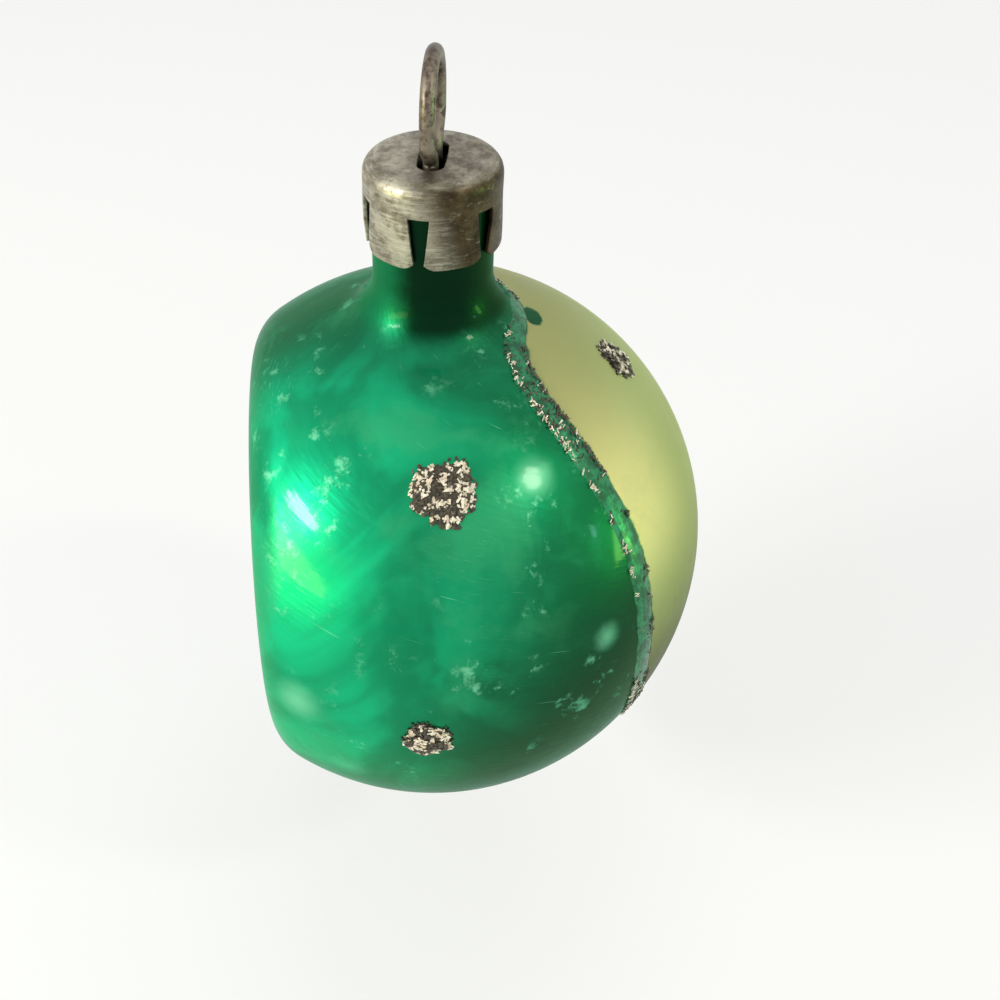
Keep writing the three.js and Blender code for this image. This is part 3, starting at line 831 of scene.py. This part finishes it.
    f.link(f.blend(pearl, green, cream), f.shader.inputs["Base Color"])
    metal = f.between(pearl, 0, 1, 0.8, 0.08, smooth=False)
    f.link(metal, f.shader.inputs["Metallic"])
    rough = f.math("MULTIPLY_ADD", marks_and_sheen, 0.2, f.between(haze, 0.35, 0.7, 0.36, 0.46))
    rough = f.math("MULTIPLY_ADD", dish, -0.2, rough)
    f.link(f.math("MULTIPLY_ADD", pearl, 0.1, rough), f.shader.inputs["Roughness"])
    coat = f.between(pearl, 0, 1, 0.2, 0.05, smooth=False)
    f.link(f.math("MULTIPLY", coat, f.between(neck, 0, 1, 1, 0.4)), f.shader.inputs["Coat Weight"])
    f.set(Coat_Roughness=0.08, Specular_IOR_Level=0.14, Specular_Tint=[0.12, 0.72, 0.45, 1.0])
    height = f.math("MULTIPLY_ADD", marks_and_sheen, 0.15, f.noise(around, 120, 2))
    height = f.math("MULTIPLY_ADD", ripples, 0.2, height)
    f.bump(height, 0.25, 0.0003)
    f.bump(height, 0.1, 0.0003, "Coat Normal")
    return f.material


def silvered_finish():
    f = Finish("silvered_inside")
    tarnish = f.noise(f.place, 260, 4)
    colour = f.blend(f.between(tarnish, 0.4, 0.65), shade(196, 196, 186), shade(132, 126, 108))
    f.link(colour, f.shader.inputs["Base Color"])
    f.set(Metallic=0.9, Roughness=f.between(tarnish, 0.3, 0.7, 0.2, 0.42))
    return f.material


def cap_finish():
    f = Finish("aged_cap_metal")
    broad = f.noise(f.place, 620, 5, 0.68)
    split = f.tree.nodes.new("ShaderNodeSeparateXYZ")
    f.link(f.place, split.inputs[0])
    # Painted light and shade: kept is 1 on the cap's lit left side and top, which are painted bright, and 0
    # on its right, painted dark with tarnish.
    painted_light_side = f.math("MULTIPLY_ADD", split.outputs[2], 0.35, split.outputs[0])
    painted_light_side = f.math("MULTIPLY_ADD", broad, 0.003, painted_light_side)
    kept = f.between(painted_light_side, -0.0004, -0.0036)
    painted_light_top = f.between(split.outputs[2], (CAP_TOP_Z - 0.5) * MM, (CAP_TOP_Z - 0.1) * MM, 0, 0.55)
    kept = f.math("MAXIMUM", kept, painted_light_top)
    tarnish_and_painted_shade = f.blend(f.between(broad, 0.36, 0.64), shade(44, 33, 16), shade(82, 69, 47))
    painted_lit_metal = f.blend(f.between(broad, 0.36, 0.64), shade(118, 111, 96), shade(174, 169, 152))
    colour = f.blend(kept, tarnish_and_painted_shade, painted_lit_metal)
    brushed = f.noise(f.scaled(f.place, (520, 520, 5400)), 1.0, 4, 0.7)
    light_marks = f.between(brushed, 0.46, 0.66, 0, 0.5)
    # The light scratches show only on the painted lit side.
    colour = f.blend(f.math("MULTIPLY", light_marks, kept), colour, shade(212, 208, 192))
    oxide = f.noise(f.scaled(f.place, (1400, 1400, 3000)), 1.0, 5, 0.7, 0.5)
    colour = f.blend(f.between(oxide, 0.56, 0.68, 0, 0.3), colour, shade(186, 180, 162))
    worn = f.noise(f.place, 1900, 4, 0.7)
    colour = f.blend(f.between(worn, 0.54, 0.68, 0, 0.5), colour, shade(76, 62, 42))
    f.link(colour, f.shader.inputs["Base Color"])
    f.set(Metallic=0.8, Roughness=f.between(oxide, 0.35, 0.7, 0.36, 0.62))
    f.bump(f.math("ADD", brushed, f.math("MULTIPLY", worn, 0.6)), 0.4, 0.00006)
    return f.material


def wire_finish():
    f = Finish("tarnished_wire")
    spots = f.noise(f.place, 1300, 4, 0.65)
    colour = f.blend(f.between(spots, 0.35, 0.6), shade(74, 64, 54), shade(130, 119, 106))
    f.link(colour, f.shader.inputs["Base Color"])
    f.set(Metallic=0.85, Roughness=f.between(spots, 0.3, 0.7, 0.3, 0.55))
    f.bump(spots, 0.3, 0.00005)
    return f.material


def glitter_finish():
    f = Finish("glass_glitter")
    tone = f.attribute("tone")
    grain = f.noise(f.place, 4200, 3, 0.6)
    brown = f.blend(f.between(tone, 0.0, 0.42), shade(24, 20, 8), shade(60, 52, 30))
    pale = f.blend(f.between(tone, 0.6, 1.0), shade(206, 190, 166), shade(246, 236, 220))
    colour = f.blend(f.between(tone, 0.5, 0.52), brown, pale)
    colour = f.blend(f.between(grain, 0.35, 0.65, 0.0, 0.2), colour, shade(118, 106, 80))
    mottled = f.noise(f.place, 1100, 5, 0.65)
    film = f.blend(f.between(mottled, 0.4, 0.62), shade(0, 82, 48), shade(30, 128, 84))
    flake = f.between(tone, -0.6, -0.4)
    f.link(f.blend(flake, film, colour), f.shader.inputs["Base Color"])
    f.link(f.between(flake, 0, 1, 0.55, 0.12, smooth=False), f.shader.inputs["Metallic"])
    f.set(Roughness=f.between(grain, 0.3, 0.7, 0.3, 0.5), Coat_Weight=0.25, Coat_Roughness=0.12)
    f.bump(f.math("MULTIPLY_ADD", mottled, 0.6, grain), 0.3, 0.00006)
    return f.material


lacquer = lacquer_finish()
silvered = silvered_finish()
cap_metal = cap_finish()
wire_metal = wire_finish()
glitter = glitter_finish()

glass_ball(lacquer, silvered)
cap_shell(cap_metal)
wire_loop(wire_metal)
glitter_stripe(glitter)
for side, axis, dots in (("green", DISH_AXIS, GREEN_DOTS), ("cream", EDGE_AXIS, CREAM_DOTS)):
    for index, (angle, turn, radius) in enumerate(dots, 1):
        centre = round_axis(axis, math.radians(angle), math.radians(turn))
        glitter_dot(side, index, centre, radius, glitter)


# Floor, light and camera

FLOOR_Z = -0.0815


def seen_white(tree):
    """1 for the rays that are to show a white surrounding: the camera's, glossy and transmission ones."""
    rays = tree.nodes.new("ShaderNodeLightPath").outputs
    seen = rays["Is Camera Ray"]
    for other in ("Is Glossy Ray", "Is Transmission Ray"):
        node = tree.nodes.new("ShaderNodeMath")
        node.operation = "MAXIMUM"
        tree.links.new(seen, node.inputs[0])
        tree.links.new(rays[other], node.inputs[1])
        seen = node.outputs[0]
    return seen


def pale_floor():
    bm = bmesh.new()
    bmesh.ops.create_grid(bm, x_segments=1, y_segments=1, size=3)
    bmesh.ops.translate(bm, vec=(0, 0, FLOOR_Z), verts=bm.verts)
    mesh = bpy.data.meshes.new("floor")
    bm.to_mesh(mesh)
    bm.free()
    floor = bpy.data.objects.new("floor", mesh)
    bpy.context.scene.collection.objects.link(floor)
    f = Finish("pale_floor")
    f.set(Base_Color=[0.9, 0.9, 0.9, 1.0], Roughness=0.9, Specular_IOR_Level=0.1)
    white = f.tree.nodes.new("ShaderNodeEmission")
    mixed = f.tree.nodes.new("ShaderNodeMixShader")
    f.link(f.math("MULTIPLY", seen_white(f.tree), 0.6), mixed.inputs[0])
    f.link(f.shader.outputs[0], mixed.inputs[1])
    f.link(white.outputs[0], mixed.inputs[2])
    f.link(mixed.outputs[0], f.tree.nodes["Material Output"].inputs["Surface"])
    mesh.materials.append(f.material)


def softbox(name, azimuth, elevation, distance, width, height, power, tint=(1, 1, 1), roll=0.0):
    light = bpy.data.lights.new(name, "AREA")
    light.shape = "ELLIPSE"
    light.size = width
    light.size_y = height
    light.energy = power
    light.color = tint
    lamp = bpy.data.objects.new(name, light)
    place = ball_centre + headed(azimuth, elevation) * distance
    facing = (ball_centre - place).to_track_quat("-Z", "Y")
    turned = facing.to_matrix().to_4x4() @ Matrix.Rotation(roll, 4, "Z")
    lamp.matrix_world = Matrix.Translation(place) @ turned
    bpy.context.scene.collection.objects.link(lamp)
    return lamp


def studio():
    world = bpy.data.worlds.new("studio")
    bpy.context.scene.world = world
    world.use_nodes = True
    tree = world.node_tree
    back = tree.nodes["Background"]
    back.inputs["Color"].default_value = (1, 1, 1, 1)
    level = tree.nodes.new("ShaderNodeMapRange")
    level.inputs["To Min"].default_value = 0.4
    level.inputs["To Max"].default_value = 1.0
    tree.links.new(seen_white(tree), level.inputs["Value"])
    tree.links.new(level.outputs["Result"], back.inputs["Strength"])
    softbox("window", -158.4, 26.8, 0.6, 0.055, 0.219, 1.8, (1, 1, 1), 1.5)
    softbox("lamp", -33, 44, 0.6, 0.08, 0.08, 0.6, (1, 0.96, 0.8))
    softbox("low_warm", -152.7, 9.8, 0.6, 0.117, 0.391, 1, (1, 1, 0.3), 1.28)
    softbox("spark", -14, 1, 0.6, 0.07, 0.2, 0.9, (0.35, 1, 0.2), -0.4)
    softbox("cool_spark", -23, 13, 0.6, 0.02, 0.06, 0.05, (0.4, 0.9, 1))
    for unseen in (
        softbox("wide_window", -150, 40, 0.7, 0.34, 0.34, 0.4, (1, 0.99, 0.97)),
        softbox("overhead", 60, 75, 0.7, 0.5, 0.5, 1.1),
        softbox("fill", -60, 20, 0.8, 0.5, 0.5, 0.4),
    ):
        unseen.visible_glossy = False


def photo_camera():
    view = Vector((-0.052, -0.747, 0.6626)).normalized()
    data = bpy.data.cameras.new("camera")
    data.lens = 46.73
    data.sensor_width = 36
    data.shift_x = 0.067
    data.shift_y = 0.024
    data.clip_start = 0.005
    camera = bpy.data.objects.new("camera", data)
    place = ball_centre + view * 0.1125
    camera.matrix_world = Matrix.Translation(place) @ (-view).to_track_quat("-Z", "Y").to_matrix().to_4x4()
    bpy.context.scene.collection.objects.link(camera)
    bpy.context.scene.camera = camera


pale_floor()
studio()
photo_camera()
bpy.context.scene.view_settings.view_transform = "Standard"
